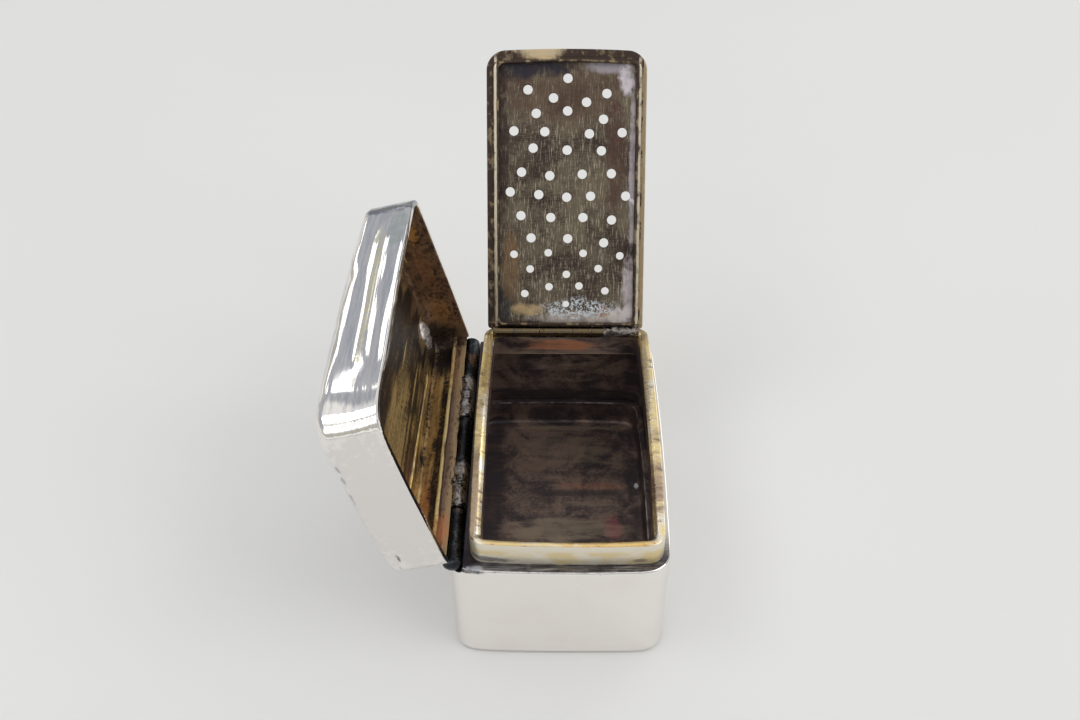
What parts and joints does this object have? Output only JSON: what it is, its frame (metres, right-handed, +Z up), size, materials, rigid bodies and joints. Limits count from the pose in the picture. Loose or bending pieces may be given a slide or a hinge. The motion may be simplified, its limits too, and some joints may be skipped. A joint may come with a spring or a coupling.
{
  "type": "vinaigrette box",
  "caption": "Small rectangular vinaigrette box with bowed sides, a hinged lid and an inner hinged grille of scattered round holes, both standing open over an empty compartment",
  "frame": {"origin": "middle of the underside, on the base", "axes": "+Z up; +Y away from the viewer, along the box's length, towards the grille's hinge; +X to the right, away from the lid's hinge"},
  "size_m": [0.0339, 0.0535, 0.046],
  "materials": {
    "polished_silver": "polished silver, lightly scratched, with a thin tarnish",
    "worn_gilt": "gilding over silver, worn and dulled to a soft gold",
    "tarnished_gilt": "gilding gone brown and olive under tarnish, scratched lengthwise",
    "dark_tarnish": "dark brown tarnish with coppery patches",
    "blackened_silver": "silver tarnished nearly black, bright where it is rubbed",
    "hinge_wire": "dull silver wire"
  },
  "bodies": {
    "body": {"body_wall": "polished_silver", "base_pan": "dark_tarnish", "shoulder_plate": "blackened_silver", "bezel": "worn_gilt", "body_bearer": "blackened_silver", "body_knuckle_front": "blackened_silver", "body_knuckle_middle": "blackened_silver", "body_knuckle_back": "blackened_silver", "lid_hinge_pin": "hinge_wire", "hinge_plug_front": "blackened_silver", "hinge_plug_back": "blackened_silver", "grille_knuckle_left": "worn_gilt", "grille_knuckle_right": "worn_gilt", "grille_hinge_pin": "hinge_wire"},
    "lid": {"lid_wall": "polished_silver", "lid_top": "polished_silver", "lid_bearer": "worn_gilt", "lid_knuckle_front": "blackened_silver", "lid_knuckle_back": "blackened_silver"},
    "grille": {"grille_plate": "tarnished_gilt", "grille_rim": "worn_gilt", "grille_knuckle_middle": "worn_gilt"}
  },
  "joints": [
    {"name": "lid_hinge", "type": "hinge", "parent": "body", "child": "lid", "pos_m": [-0.01112, 0, 0.0147], "axis": [0, 1, 0], "range_deg": [0, 34]},
    {"name": "grille_hinge", "type": "hinge", "parent": "body", "child": "grille", "pos_m": [0.00072, 0.01649, 0.01756], "axis": [1, 0, 0], "range_deg": [0, 122.3]}
  ]
}
